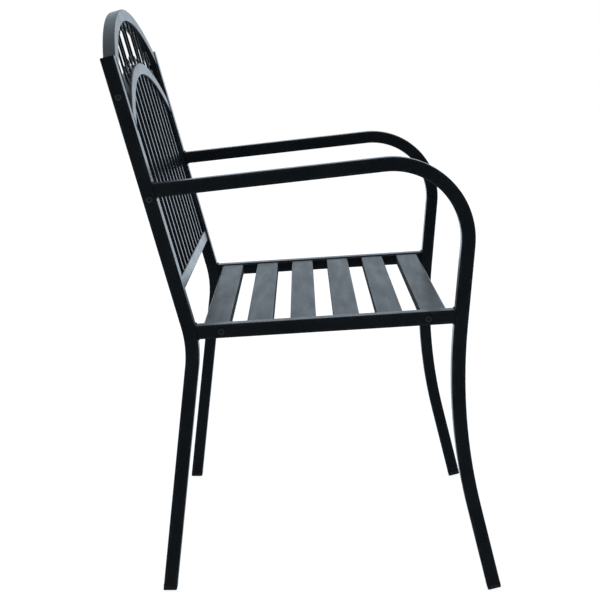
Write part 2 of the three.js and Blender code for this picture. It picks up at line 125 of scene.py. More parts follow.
# ---- materials ------------------------------------------------------------------------------
class Nodes:
    """A small helper that adds shader nodes to a new material and links them."""

    def __init__(self, name):
        self.material = bpy.data.materials.new(name)
        self.material.use_nodes = True
        self.tree = self.material.node_tree
        self.surface = self.tree.nodes["Principled BSDF"]

    def add(self, kind, **inputs):
        node = self.tree.nodes.new(kind)
        for key, value in inputs.items():
            self.feed(node, key.replace("_", " "), value)
        return node

    def feed(self, node, key, value):
        socket = node.inputs[key]
        if isinstance(value, bpy.types.NodeSocket):
            self.tree.links.new(value, socket)
        else:
            socket.default_value = value

    def noise(self, scale, detail=2.0, roughness=0.5, stretch=(1, 1, 1)):
        """Noise in the object's own metres; scale is in cells per metre."""
        place = self.add("ShaderNodeTexCoord")
        mapping = self.add("ShaderNodeMapping", Vector=place.outputs["Object"], Scale=stretch)
        return self.add(
            "ShaderNodeTexNoise", Vector=mapping.outputs["Vector"], Scale=scale, Detail=detail,
            Roughness=roughness).outputs["Fac"]

    def ranged(self, value, given, wanted=(0.0, 1.0)):
        """The value stretched from one (low, high) range to another, and held at its ends."""
        node = self.tree.nodes.new("ShaderNodeMapRange")
        self.feed(node, "From Min", given[0])
        self.feed(node, "From Max", given[1])
        self.feed(node, "To Min", wanted[0])
        self.feed(node, "To Max", wanted[1])
        self.feed(node, "Value", value)
        return node.outputs["Result"]

    def product(self, one, two):
        node = self.tree.nodes.new("ShaderNodeMath")
        node.operation = "MULTIPLY"
        self.tree.links.new(one, node.inputs[0])
        self.tree.links.new(two, node.inputs[1])
        return node.outputs["Value"]

    def mix(self, factor, low, high):
        """A colour between two, each a socket or an (r, g, b) value."""
        node = self.tree.nodes.new("ShaderNodeMix")
        node.data_type = "RGBA"
        self.tree.links.new(factor, node.inputs["Factor"])
        colour_a, colour_b = node.inputs[6], node.inputs[7]
        for socket, value in ((colour_a, low), (colour_b, high)):
            if isinstance(value, bpy.types.NodeSocket):
                self.tree.links.new(value, socket)
            else:
                socket.default_value = (*value, 1)
        mixed_colour = node.outputs[2]
        return mixed_colour

    def bump(self, height, strength, distance, normal=None):
        node = self.add("ShaderNodeBump", Height=height, Strength=strength, Distance=distance)
        if normal is not None:
            self.tree.links.new(normal, node.inputs["Normal"])
        return node.outputs["Normal"]


def coat_colour(n, dark, pale):
    """Cloudy black with fine paler specks, paler in patches along the rounded edges, partly from wear
    and partly as a painted highlight where the edges catch the light.
    """
    clouds = n.noise(14.0, detail=3.0, roughness=0.6)
    speckle = n.noise(1400.0)
    colour = n.mix(n.ranged(clouds, (0.35, 0.65)), dark, pale)
    speck_colour = tuple(level * 2.2 for level in pale)
    colour = n.mix(n.ranged(speckle, (0.62, 0.80), (0.0, 0.35)), colour, speck_colour)
    edge = n.add("ShaderNodeAttribute")
    edge.attribute_name = "edge"
    rub = n.ranged(n.noise(60.0, detail=4.0, roughness=0.65), (0.45, 0.70))
    # painted highlight: the paler colour along the rounded edges is partly rubbed wear and partly a
    # painted highlight
    edge_wear_and_highlight = n.product(edge.outputs["Fac"], rub)
    wear_and_highlight_colour = tuple(level * 3 for level in pale)
    return n.mix(n.ranged(edge_wear_and_highlight, (0.0, 1.0), (0.0, 0.5)), colour, wear_and_highlight_colour)


def rougher_sides(n, top_roughness, side_roughness):
    """The top's roughness on faces that look up, and another one on the upright faces."""
    facing = n.add("ShaderNodeSeparateXYZ", Vector=n.add("ShaderNodeNewGeometry").outputs["Normal"])
    blend = n.add("ShaderNodeMix")
    n.feed(blend, "Factor", n.ranged(facing.outputs["Z"], (0.2, 0.7)))
    n.feed(blend, "A", side_roughness)
    n.feed(blend, "B", top_roughness)
    return blend.outputs["Result"]


def powder_coat(name, dark, pale, gloss, scuffs=(1, 1, 1), side_roughness=None):
    """Black powder coat with orange peel; gloss is its lowest and highest roughness."""
    n = Nodes(name)
    n.surface.inputs["Metallic"].default_value = 0.0
    n.surface.inputs["Specular IOR Level"].default_value = 0.5
    n.feed(n.surface, "Base Color", coat_colour(n, dark, pale))
    streaks = n.noise(38.0, detail=5.0, roughness=0.6, stretch=scuffs)
    roughness = n.ranged(streaks, (0.3, 0.7), gloss)
    if side_roughness is not None:
        roughness = rougher_sides(n, roughness, side_roughness)
    n.feed(n.surface, "Roughness", roughness)
    orange_peel = n.bump(n.noise(650.0), 0.25, 0.0002)
    grain = n.bump(n.noise(2600.0, detail=1.0), 0.12, 0.0001, orange_peel)
    n.feed(n.surface, "Normal", grain)
    return n.material


def moulded_plastic(name):
    """Matte moulded polyethylene of the caps, with a fine spark-eroded grain."""
    n = Nodes(name)
    n.surface.inputs["Specular IOR Level"].default_value = 0.4
    tint = n.ranged(n.noise(90.0, detail=3.0, roughness=0.6), (0.3, 0.7))
    n.feed(n.surface, "Base Color", n.mix(tint, (0.008, 0.009, 0.010), (0.015, 0.016, 0.018)))
    n.feed(n.surface, "Roughness", n.ranged(n.noise(45.0), (0.3, 0.7), (0.5, 0.66)))
    grain = n.noise(1800.0, detail=3.0, roughness=0.6)
    n.feed(n.surface, "Normal", n.bump(grain, 0.35, 0.00015))
    return n.material


def bolt_zinc(name):
    """Black passivated zinc of the bolts, slightly uneven in colour and gloss."""
    n = Nodes(name)
    n.surface.inputs["Metallic"].default_value = 0.15
    tint = n.noise(300.0, detail=3.0)
    n.feed(n.surface, "Base Color", n.mix(tint, (0.022, 0.025, 0.029), (0.034, 0.037, 0.042)))
    gloss = n.noise(500.0, detail=3.0)
    n.feed(n.surface, "Roughness", n.ranged(gloss, (0.3, 0.7), (0.3, 0.5)))
    n.feed(n.surface, "Normal", n.bump(n.noise(900.0), 0.15, 0.0001))
    return n.material


def floor_white(name):
    """Pale floor that glows a little, so that it stays even."""
    n = Nodes(name)
    n.feed(n.surface, "Base Color", (0.55, 0.55, 0.55, 1))
    n.feed(n.surface, "Roughness", 0.9)
    n.feed(n.surface, "Specular IOR Level", 0.0)
    n.feed(n.surface, "Emission Color", (1, 1, 1, 1))
    n.feed(n.surface, "Emission Strength", 0.90)
    return n.material


MATERIALS = {
    "frame_powder_coat": powder_coat(
        "frame_powder_coat", dark=(0.0060, 0.0084, 0.0108), pale=(0.0086, 0.0114, 0.0142),
        gloss=(0.24, 0.33)),
    "slat_powder_coat": powder_coat(
        "slat_powder_coat", dark=(0.0070, 0.0092, 0.0115), pale=(0.0120, 0.0145, 0.0175),
        gloss=(0.32, 0.42), scuffs=(0.25, 1.6, 1), side_roughness=0.85),
    "black_plastic": moulded_plastic("black_plastic"),
    "bolt_black_zinc": bolt_zinc("bolt_black_zinc"),
}


# ---- mesh making ----------------------------------------------------------------------------
SHARP_ANGLE = math.radians(38)
EDGE_BAND = 0.003                # how far the edge wear and painted edge highlight reach from a corner onto the flats


def rounded_outline(width, height, corner, steps=5):
    """(x, y, edge) points round a rectangle with arc corners; edge is 1 there and 0 on the flats."""
    points = []
    for quadrant, (sx, sy) in enumerate(((1, 1), (-1, 1), (-1, -1), (1, -1))):
        for step in range(steps + 1):
            angle = (quadrant + step / steps) * math.pi / 2
            points.append((
                sx * (width / 2 - corner) + corner * math.cos(angle),
                sy * (height / 2 - corner) + corner * math.sin(angle),
                1.0,
            ))
        turn = (quadrant + 1) * math.pi / 2
        along = (-math.sin(turn), math.cos(turn))
        flat = (height if quadrant % 2 else width) - 2 * corner
        last = points[-1]
        band = min(EDGE_BAND, flat / 3)
        for distance in (band, flat - band):
            points.append((last[0] + along[0] * distance, last[1] + along[1] * distance, 0.0))
    return points


def round_outline(diameter, sides=16):
    """(x, y, edge) points round a circle."""
    radius = diameter / 2
    angles = [2 * math.pi * i / sides for i in range(sides)]
    return [(radius * math.cos(a), radius * math.sin(a), 0.0) for a in angles]


def add_rings(bm, rings, closed=False):
    """Skins a list of rings, each a list of (point, edge).

    closed joins the last ring to the first; otherwise both ends get a face.
    """
    layer = bm.verts.layers.float.get("edge") or bm.verts.layers.float.new("edge")
    made = []
    for ring in rings:
        verts = []
        for point, edge in ring:
            vert = bm.verts.new(point)
            vert[layer] = edge
            verts.append(vert)
        made.append(verts)
    pairs = list(zip(made, made[1:]))
    if closed:
        pairs.append((made[-1], made[0]))
    faces = []
    for one, two in pairs:
        count = len(one)
        for i in range(count):
            j = (i + 1) % count
            faces.append(bm.faces.new((one[i], one[j], two[j], two[i])))
    if not closed:
        faces.append(bm.faces.new(list(reversed(made[0]))))
        faces.append(bm.faces.new(made[-1]))
    bmesh.ops.recalc_face_normals(bm, faces=faces)


def station_ring(outline, station, across):
    """The outline set square to the station's direction; its x runs along across."""
    point, along = station
    out = along.cross(across).normalized()
    return [(point + across * x + out * y, edge) for x, y, edge in outline]


def add_sweep(bm, outline, stations, across):
    """Skins the outline along the stations, with a flat end at each end."""
    add_rings(bm, [station_ring(outline, station, across) for station in stations])


def piece(name, bm, slot, *nodes):
    """Turns the mesh into an object that rides on the chair and stands for the named CAD nodes."""
    mesh = bpy.data.meshes.new(name)
    bm.to_mesh(mesh)
    bm.free()
    mesh.shade_smooth()
    mesh.set_sharp_from_angle(angle=SHARP_ANGLE)
    mesh.materials.append(MATERIALS[slot])
    made = bpy.data.objects.new(name, mesh)
    bpy.context.scene.collection.objects.link(made)
    weighted = made.modifiers.new("weighted_normals", "WEIGHTED_NORMAL")
    weighted.keep_sharp = True
    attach(made, "root")
    if nodes:
        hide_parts(*nodes)


# A station is a point and the direction of the tube there.
def moved(stations, offset):
    return [(point + offset, along) for point, along in stations]


def extended(station, distance):
    """The station, moved forward in its own direction."""
    point, along = station
    return (point + along * distance, along)


def turned_back(station):
    point, along = station
    return (point, -along)


# ---- the side profile's centre lines --------------------------------------------------------
def profile(forward, up, forward_step, up_step):
    """A station of the side profile."""
    along = Vector((0, -forward_step, up_step)).normalized()
    return (Vector((0, CENTRE_FORWARD - forward, up)), along)


def profile_arc(centre, radius, start, end, steps):
    """Stations on an arc of the side profile, its angles in degrees from forward to up."""
    turn = math.copysign(1, end - start)
    stations = []
    for i in range(steps + 1):
        angle = math.radians(start + (end - start) * i / steps)
        stations.append(profile(
            centre[0] + radius * math.cos(angle), centre[1] + radius * math.sin(angle),
            -turn * math.sin(angle), turn * math.cos(angle)))
    return stations


def rear_post_line():
    """From the floor cap's seat up the rear leg, through the bend and up the post to its cap."""
    rake, recline = math.radians(REAR_LEG_RAKE), math.radians(BACK_RECLINE)
    tangent = POST_BEND_RADIUS * math.tan((rake + recline) / 2)
    start = (POST_BEND[0] - tangent * math.sin(rake), POST_BEND[1] - tangent * math.cos(rake))
    centre = (
        start[0] - POST_BEND_RADIUS * math.cos(rake),
        start[1] + POST_BEND_RADIUS * math.sin(rake))
    arc = profile_arc(centre, POST_BEND_RADIUS, -REAR_LEG_RAKE, BACK_RECLINE, steps=14)
    leg = start[1] / math.cos(rake) - FOOT_CAP
    top = profile(
        POST_BEND[0] - POST_LENGTH * math.sin(recline), POST_BEND[1] + POST_LENGTH * math.cos(recline),
        -math.sin(recline), math.cos(recline))
    return [extended(arc[0], -leg), *arc, extended(top, -POST_CAP)]


def arm_line():
    """From the post's front face along the armrest, round its bend and down the front leg."""
    arm_bend = profile_arc(ARM_BEND, ARM_BEND_RADIUS, 90 + ARM_RISE, -FRONT_LEG_LEAN, steps=44)
    rear = arm_bend[0]
    arm_start = extended(rear, -distance_to_face(rear[0], -rear[1], POST_FRONT_FACE))
    lean, splay = math.radians(FRONT_LEG_LEAN), math.radians(FRONT_FOOT_SPLAY)
    leg_start = arm_bend[-1][0]
    curve_forward = CENTRE_FORWARD - leg_start.y - (leg_start.z - LEG_CURVE_TOP) * math.tan(lean)
    centre = (
        curve_forward + LEG_CURVE_RADIUS * math.cos(lean),
        LEG_CURVE_TOP - LEG_CURVE_RADIUS * math.sin(lean))
    curve = profile_arc(
        centre, LEG_CURVE_RADIUS, 180 - FRONT_LEG_LEAN, 180 + FRONT_FOOT_SPLAY, steps=18)
    leg = (curve[-1][0].z - FRONT_FOOT_UP) / math.cos(splay) - FOOT_CAP
    return [arm_start, *arm_bend, *curve, extended(curve[-1], leg)]


def back_point(up, out=0.0):
    """A point of the back's own plane; out is towards the front."""
    recline = math.radians(BACK_RECLINE)
    return Vector((
        0, CENTRE_FORWARD - POST_BEND[0] + up * math.sin(recline) - out * math.cos(recline),
        POST_BEND[1] + up * math.cos(recline) + out * math.sin(recline)))


def seat_point(along, above=0.0):
    """A point of the seat's own plane, along the rails and above their middle."""
    rise = math.radians(SEAT_RISE)
    return Vector((
        0, CENTRE_FORWARD - SEAT_RAIL_REAR[0] - along * math.cos(rise) + above * math.sin(rise),
        SEAT_RAIL_REAR[1] + along * math.sin(rise) + above * math.cos(rise)))


BACK_UP = (back_point(1.0) - back_point(0.0)).normalized()
BACK_OUT = (back_point(0.0, 1.0) - back_point(0.0)).normalized()
SEAT_ALONG = (seat_point(1.0) - seat_point(0.0)).normalized()
SEAT_ABOVE = (seat_point(0.0, 1.0) - seat_point(0.0)).normalized()

# A face is a point and a normal; this one is the front of the straight post.
POST_FRONT_FACE = (back_point(0.2, TUBE / 2), BACK_OUT)


def distance_to_face(point, direction, face):
    """How far the point has to go in the direction to reach the face."""
    origin, normal = face
    return (origin - point).dot(normal) / direction.dot(normal)


POST_LINE = rear_post_line()
ARM_LINE = arm_line()


# ---- welds ----------------------------------------------------------------------------------
BEAD_SIDES = 8
BEAD_RIPPLE = 0.0021             # length of one ripple
RIPPLE_STEPS = 3                 # rings in one ripple
RIPPLE_DEPTH = 0.10              # as a share of the bead's radius
FILLET = 0.0022                  # side frame: bead radius above and below a tube's end
FLUSH_WELD = 0.0007              # side frame: what is left on the dressed side faces
ARCH_BEAD = 0.0012               # radii of the panel's and the seat's beads
BAR_BEAD = 0.0010
SCROLL_BEAD = 0.0009
SLAT_END_BEAD = 0.0013
SLAT_UNDER_BEAD = 0.0018
SCROLL_WELD = 0.0025             # half length of a tack at a rod's end


def resampled(points, spacing):
    """The closed loop's points, evenly spaced."""
    count = len(points)
    lengths = [(points[(i + 1) % count] - points[i]).length for i in range(count)]
    total = sum(lengths)
    steps = max(8, round(total / spacing))
    result, index, passed = [], 0, 0.0
    for step in range(steps):
        target = total * step / steps
        while passed + lengths[index] < target:
            passed += lengths[index]
            index += 1
        share = (target - passed) / lengths[index]
        result.append(points[index].lerp(points[(index + 1) % count], share))
    return result


def ripple(index):
    """The bead's swelling at its numbered ring."""
    return 1 + RIPPLE_DEPTH * math.sin(2 * math.pi * index / RIPPLE_STEPS)


def bead_ring(centre, side, other, radius):
    angles = [2 * math.pi * k / BEAD_SIDES for k in range(BEAD_SIDES)]
    return [(centre + side * radius * math.cos(a) + other * radius * math.sin(a), 0.0) for a in angles]


def add_bead(bm, loop, radius_at):
    """A rippled bead round a closed loop; radius_at takes the direction from the loop's middle."""
    points = resampled(loop, BEAD_RIPPLE / RIPPLE_STEPS)
    middle = sum(points, Vector()) / len(points)
    rings = []
    count = len(points)
    for i, point in enumerate(points):
        along = (points[(i + 1) % count] - points[i - 1]).normalized()
        side = (point - middle).normalized()
        side = (side - along * side.dot(along)).normalized()
        radius = radius_at(point - middle) * ripple(i)
        rings.append(bead_ring(point, side, along.cross(side), radius))
    add_rings(bm, rings, closed=True)


def seam(outline, station, across, face):
    """Where the tube's surface, carried along the station's direction, meets a flat face."""
    loop = []
    for point, _ in station_ring(outline, station, across):
        loop.append(point + station[1] * distance_to_face(point, station[1], face))
    return loop


def add_straight_bead(bm, start, end, radius):
    """A rippled bead between two points, tapered over the first and last eighth of its length."""
    along = (end - start).normalized()
    side = along.orthogonal().normalized()
    other = along.cross(side)
    steps = max(6, round((end - start).length / BEAD_RIPPLE * RIPPLE_STEPS))
    rings = []
    for i in range(steps + 1):
        t = i / steps
        taper = min(1.0, 6 * min(t, 1 - t) + 0.25)
        rings.append(bead_ring(start.lerp(end, t), side, other, radius * taper * ripple(i)))
    add_rings(bm, rings)


# ---- side frames ----------------------------------------------------------------------------
TUBE_OUTLINE = rounded_outline(TUBE, TUBE, TUBE_CORNER)
REAR_JOINT, FRONT_JOINT = -0.02, 0.35    # about where the seat rails end, along them
DOWNWARD = -0.9                          # Z of a direction that runs down the front leg
DRESSED = (0.55, 0.80)                   # X of a direction where a weld starts to be dressed, and is


def frame_weld_radius(direction):
    """Full on the top and bottom of a joint, ground down on its side faces."""
    sideways = abs(direction.normalized().x)
    start, full = DRESSED
    dressed = min(1.0, max(0.0, (sideways - start) / (full - start)))
    return FILLET * (1 - dressed) + FLUSH_WELD * dressed


def nearest_by_height(stations, height):
    return min(stations, key=lambda station: abs(station[0].z - height))


def tube_face(station, forward):
    """The tube's front face at a station, or its rear face."""
    out = ACROSS.cross(station[1]).normalized()
    if (out.y < 0) != forward:
        out = -out
    return station[0] + out * TUBE / 2, out


def seat_rail_ends():
    """The stations and faces where the seat side rail meets the rear post and the front leg."""
    front_leg = [station for station in ARM_LINE if station[1].z < DOWNWARD]
    rear_face = tube_face(nearest_by_height(POST_LINE[1:-1], seat_point(REAR_JOINT).z), True)
    front_face = tube_face(nearest_by_height(front_leg, seat_point(FRONT_JOINT).z), False)
    start = (seat_point(0.0), SEAT_ALONG)
    rear = extended(start, distance_to_face(*start, rear_face))
    front = extended(start, distance_to_face(*start, front_face))
    return rear, rear_face, front, front_face


def flush_sweep(bm, outline, stations, across, faces):
    """A sweep whose numbered rings are slid along the tube onto the faces given for them."""
    rings = [station_ring(outline, station, across) for station in stations]
    for index, face in faces.items():
        along = stations[index][1]
        rings[index] = [(p + along * distance_to_face(p, along, face), e) for p, e in rings[index]]
    add_rings(bm, rings)


def side_frame(side, sign):
    """Post, armrest with front leg and seat rail of one side, and their welds."""
    offset = ACROSS * sign * FRAME_X
    bm = bmesh.new()
    add_sweep(bm, TUBE_OUTLINE, moved(POST_LINE, offset), ACROSS)
    piece(f"post_tube_{side}", bm, "frame_powder_coat", f"rear_post_and_leg_{side}")

    bm = bmesh.new()
    flush_sweep(bm, TUBE_OUTLINE, moved(ARM_LINE, offset), ACROSS, {0: POST_FRONT_FACE})
    piece(f"arm_tube_{side}", bm, "frame_powder_coat", f"armrest_and_front_leg_{side}")

    rear, rear_face, front, front_face = seat_rail_ends()
    bm = bmesh.new()
    rail = moved([rear, front], offset)
    flush_sweep(bm, TUBE_OUTLINE, rail, ACROSS, {0: rear_face, 1: front_face})
    piece(f"seat_rail_{side}", bm, "frame_powder_coat", f"seat_side_rail_{side}")

    bm = bmesh.new()
    joints = ((ARM_LINE[0], POST_FRONT_FACE), (rear, rear_face), (front, front_face))
    for station, face in joints:
        loop = [point + offset for point in seam(TUBE_OUTLINE, station, ACROSS, face)]
        add_bead(bm, loop, frame_weld_radius)
    piece(f"side_frame_welds_{side}", bm, "frame_powder_coat")


# ---- caps -----------------------------------------------------------------------------------
# Each level of a cap: how far out of the tube's end it is, and how far inside the tube's outline.
CAP_PLUG = ((-0.004, 0.0013), (0.0002, 0.0013))
POST_CAP_LEVELS = (
    *CAP_PLUG, (0.0002, 0.0001), (POST_CAP - 0.0008, 0.0),
    (POST_CAP - 0.0003, 0.0004), (POST_CAP, 0.0012), (POST_CAP, 0.004))
FOOT_CAP_LEVELS = (
    *CAP_PLUG, (0.0002, 0.0), (0.0007, -0.0003), (0.0016, -0.0003), (0.0021, 0.0),
    (FOOT_CAP - 0.0012, 0.0), (FOOT_CAP - 0.0004, 0.0004), (FOOT_CAP, 0.0013))
SMALLEST_CORNER = 0.0006


def cap_rings(station, levels):
    """Rings of a rounded square at the cap's levels."""
    rings = []
    for distance, inset in levels:
        size = TUBE - 2 * inset
        outline = rounded_outline(size, size, max(SMALLEST_CORNER, TUBE_CORNER - inset * 0.5))
        rings.append(station_ring(outline, extended(station, distance), ACROSS))
    return rings


def post_cap(side, sign):
    """Flat lid with a rounded edge, pressed onto the top of a post."""
    point, along = POST_LINE[-1]
    station = (point + ACROSS * sign * FRAME_X, along)
    bm = bmesh.new()
    add_rings(bm, cap_rings(station, POST_CAP_LEVELS))
    piece(f"post_lid_{side}", bm, "black_plastic", f"post_cap_{side}")


def foot_cap(side, sign, which, station, on_floor):
    """Moulded foot with a rim where it meets the tube; the station points out of the tube."""
    point, along = station
    station = (point + ACROSS * sign * FRAME_X, along)
    rings = cap_rings(station, FOOT_CAP_LEVELS)
    if on_floor:
        rings = [
            level_with_floor(ring, along, distance)
            for ring, (distance, _) in zip(rings, FOOT_CAP_LEVELS)]
    bm = bmesh.new()
    add_rings(bm, rings)
    piece(f"foot_{which}_{side}", bm, "black_plastic", f"foot_cap_{which}_{side}")


def level_with_floor(ring, along, distance):
    """Shears the last rings of a foot so that its sole lies flat on the floor."""
    rise = FOOT_CAP - distance
    if rise > FOOT_CAP / 2:
        return ring
    return [(point + along * ((rise - point.z) / along.z), edge) for point, edge in ring]


# ---- back panel -----------------------------------------------------------------------------
ARCH_OUTLINE = rounded_outline(PANEL_DEPTH, PANEL_TUBE, PANEL_CORNER)
RAIL_OUTLINE = rounded_outline(RAIL_DEPTH, PANEL_TUBE, PANEL_CORNER)


def panel_station(across, up, across_step, up_step):
    """A station of the back panel, in the panel's own directions across and up."""
    along = (ACROSS * across_step + BACK_UP * up_step).normalized()
    return (ACROSS * across + back_point(up), along)


def arch_height(top, across, offset=0.0):
    """Height of an arch's centre line, or of the line offset from it, at a place across."""
    radius = ARCH_RADIUS + offset
    return top - ARCH_RADIUS + math.sqrt(radius * radius - across * across)


def arch_stations(top, steps=48):
    """Stations of an arch from the right side bar to the left one."""
    half = math.asin(PANEL_END / ARCH_RADIUS)
    stations = []
    for i in range(steps + 1):
        angle = half * (2 * i / steps - 1)
        across = ARCH_RADIUS * math.sin(angle)
        up = top - ARCH_RADIUS + ARCH_RADIUS * math.cos(angle)
        stations.append(panel_station(across, up, math.cos(angle), -math.sin(angle)))
    return stations


def side_face(sign):
    """The inner face of a side bar, where arches and rail end."""
    return ACROSS * sign * (PANEL_END + GAP), ACROSS * sign


def arch(name, top, node):
    stations = arch_stations(top)
    ends = {0: side_face(-1), len(stations) - 1: side_face(1)}
    bm = bmesh.new()
    flush_sweep(bm, ARCH_OUTLINE, stations, BACK_OUT, ends)
    piece(name, bm, "frame_powder_coat", node)


def bottom_rail():
    ends = [panel_station(sign * (PANEL_END + GAP), BOTTOM_RAIL_UP, 1, 0) for sign in (-1, 1)]
    bm = bmesh.new()
    add_sweep(bm, RAIL_OUTLINE, ends, BACK_OUT)
    piece("back_lower_rail", bm, "frame_powder_coat", "back_bottom_rail")


def bar_across(index):
    """The uprights share the width between the posts evenly."""
    return (index + 1) * 2 * INNER_X / (BAR_COUNT + 1) - INNER_X


def back_bar(index):
    """One upright: its foot stands on the bottom rail and its top is shaped to the inner arch."""
    across = bar_across(index)
    outline = rounded_outline(BAR_SIZE, BAR_SIZE, BAR_CORNER, steps=3)
    low = BOTTOM_RAIL_UP + PANEL_TUBE / 2
    foot = station_ring(outline, panel_station(across, low, 0, 1), BACK_OUT)
    head = []
    for point, edge in foot:
        up = arch_height(INNER_ARCH_TOP, point.x, -PANEL_TUBE / 2)
        head.append((point + BACK_UP * (up - low), edge))
    bm = bmesh.new()
    add_rings(bm, [foot, head])
    number = f"{index + 1:02d}"
    piece(f"upright_{number}", bm, "frame_powder_coat", f"back_bar_{number}")
    return foot, head


def side_bar(side, sign):
    """Flat bar beside the post, which the arches and the rail are welded to."""
    outline = rounded_outline(SIDE_BAR_DEPTH, SIDE_BAR, SIDE_BAR_CORNER, steps=3)
    across = sign * (INNER_X - GAP - SIDE_BAR / 2)
    ends = [panel_station(across, up, 0, 1) for up in (SIDE_BAR_LOW, SIDE_BAR_HIGH)]
    bm = bmesh.new()
    add_sweep(bm, outline, ends, BACK_OUT)
    piece(f"panel_side_bar_{side}", bm, "frame_powder_coat", f"back_side_bar_{side}")


def panel_arc(across, up, radius, start, end, steps):
    """Points and steps, (across, up, across_step, up_step), on an arc of the panel."""
    turn = math.copysign(1, end - start)
    stations = []
    for i in range(steps + 1):
        angle = math.radians(start + (end - start) * i / steps)
        stations.append((
            across + radius * math.cos(angle), up + radius * math.sin(angle),
            -turn * math.sin(angle), turn * math.cos(angle)))
    return stations


def curl(radius, up):
    """The rolled-up upper end of an upright, for a curl to the right, measured from the upright."""
    second = radius * INNER_CURL
    first = panel_arc(radius, up, radius, 180, 0, steps=24)
    return first + panel_arc(2 * radius - second, up, second, 0, -INNER_CURL_TURN, steps=16)[1:]


def curled_line(across, roll):
    """An upright with both ends rolled up to the same side, each touching its arch."""
    radius, side = abs(roll), math.copysign(1, roll)
    crest = across + roll
    clear = (radius + SCROLL_ROD / 2) / math.cos(math.asin(crest / ARCH_RADIUS))
    low = arch_height(INNER_ARCH_TOP, crest, PANEL_TUBE / 2) + clear
    high = arch_height(OUTER_ARCH_TOP, crest, -PANEL_TUBE / 2) - clear
    upper = [(side * x, up, side * dx, du) for x, up, dx, du in curl(radius, high)]
    lower = [(side * x, -up, -side * dx, du) for x, up, dx, du in reversed(curl(radius, -low))]
    return [panel_station(across + x, up, dx, du) for x, up, dx, du in lower + upper]


def straight_line(across):
    """A plain rod whose ends run just into the arches."""
    low = arch_height(INNER_ARCH_TOP, across, PANEL_TUBE / 2) - SCROLL_ROD / 4
    high = arch_height(OUTER_ARCH_TOP, across, -PANEL_TUBE / 2) + SCROLL_ROD / 4
    return [panel_station(across, up, 0, 1) for up in (low, high)]


def scroll(name, node, across, roll, welds):
    """One ornament rod, and a tack where it touches each arch."""
    bm = bmesh.new()
    line = curled_line(across, roll) if roll else straight_line(across)
    add_sweep(bm, round_outline(SCROLL_ROD), line, BACK_OUT)
    piece(name, bm, "frame_powder_coat", node)
    crest = across + roll
    slant = math.asin(crest / ARCH_RADIUS)
    for top, offset in ((INNER_ARCH_TOP, PANEL_TUBE / 2), (OUTER_ARCH_TOP, -PANEL_TUBE / 2)):
        up = arch_height(top, crest, offset)
        at = panel_station(crest, up, math.cos(slant), -math.sin(slant))
        start, end = extended(at, -SCROLL_WELD)[0], extended(at, SCROLL_WELD)[0]
        add_straight_bead(welds, start, end, SCROLL_BEAD)


def back_panel():
    """Arches, rail, uprights, side bars and ornament, with one mesh for all their welds."""
    arch("outer_arch", OUTER_ARCH_TOP, "back_outer_arch")
    arch("inner_arch", INNER_ARCH_TOP, "back_inner_arch")
    bottom_rail()
    welds = bmesh.new()
    for index in range(BAR_COUNT):
        foot, head = back_bar(index)
        for ring in (foot, head):
            add_bead(welds, [point for point, _ in ring], lambda direction: BAR_BEAD)
    for side, sign in SIDES:
        side_bar(side, sign)
        end = -1 if sign > 0 else 0
        joints = (
            (ARCH_OUTLINE, arch_stations(OUTER_ARCH_TOP)[end]),
            (ARCH_OUTLINE, arch_stations(INNER_ARCH_TOP)[end]),
            (RAIL_OUTLINE, panel_station(sign * PANEL_END, BOTTOM_RAIL_UP, 1, 0)))
        for outline, station in joints:
            loop = seam(outline, station, BACK_OUT, side_face(sign))
            add_bead(welds, loop, lambda direction: ARCH_BEAD)
    for name, across, roll in SCROLLS:
        for side, sign in SIDES:
            node = f"back_scroll_{name}_{side}"
            scroll(f"scroll_{name}_{side}", node, sign * across, sign * roll, welds)
    piece("back_panel_welds", welds, "frame_powder_coat")


# ---- seat -----------------------------------------------------------------------------------
SLAT_MIDDLE = TUBE / 2 - SLAT_DROP - SLAT_HEIGHT / 2     # above the middle of the rails
UNDER_WELD_SUNK = 0.0004         # depth of the beads' lines inside a slat's underside
UNDER_WELD_SHORT = 0.003         # how far the bead below a slat stops short of its edges
END_WELD_REACH = 0.98            # place of the upright beads, as a share of a slat's half width
END_WELD_TOP = 0.5               # their upper end, as a share of a slat's half height


def slat(index):
    """One slat; returns its middle."""
    along = FIRST_SLAT + index * SLAT_PITCH
    outline = rounded_outline(SLAT_WIDTH, SLAT_HEIGHT, SLAT_CORNER)
    middle = seat_point(along, SLAT_MIDDLE)
    ends = [(middle + ACROSS * sign * (PANEL_END + GAP), ACROSS.copy()) for sign in (-1, 1)]
    bm = bmesh.new()
    add_sweep(bm, outline, ends, SEAT_ALONG)
    piece(f"slat_{index + 1}", bm, "slat_powder_coat", f"seat_slat_{index + 1}")
    return middle


def seat_bar(side, sign):
    """Flat bar beside the seat rail, which the slats are welded to."""
    outline = rounded_outline(SIDE_BAR, SLAT_HEIGHT, SIDE_BAR_CORNER, steps=3)
    half = SLAT_WIDTH / 2 + SEAT_BAR_OVERHANG
    across = ACROSS * sign * (INNER_X - GAP - SIDE_BAR / 2)
    reach = (FIRST_SLAT - half, FIRST_SLAT + (SLAT_COUNT - 1) * SLAT_PITCH + half)
    ends = [(seat_point(along, SLAT_MIDDLE) + across, SEAT_ALONG) for along in reach]
    bm = bmesh.new()
    add_sweep(bm, outline, ends, ACROSS)
    piece(f"slat_side_bar_{side}", bm, "frame_powder_coat", f"seat_side_bar_{side}")


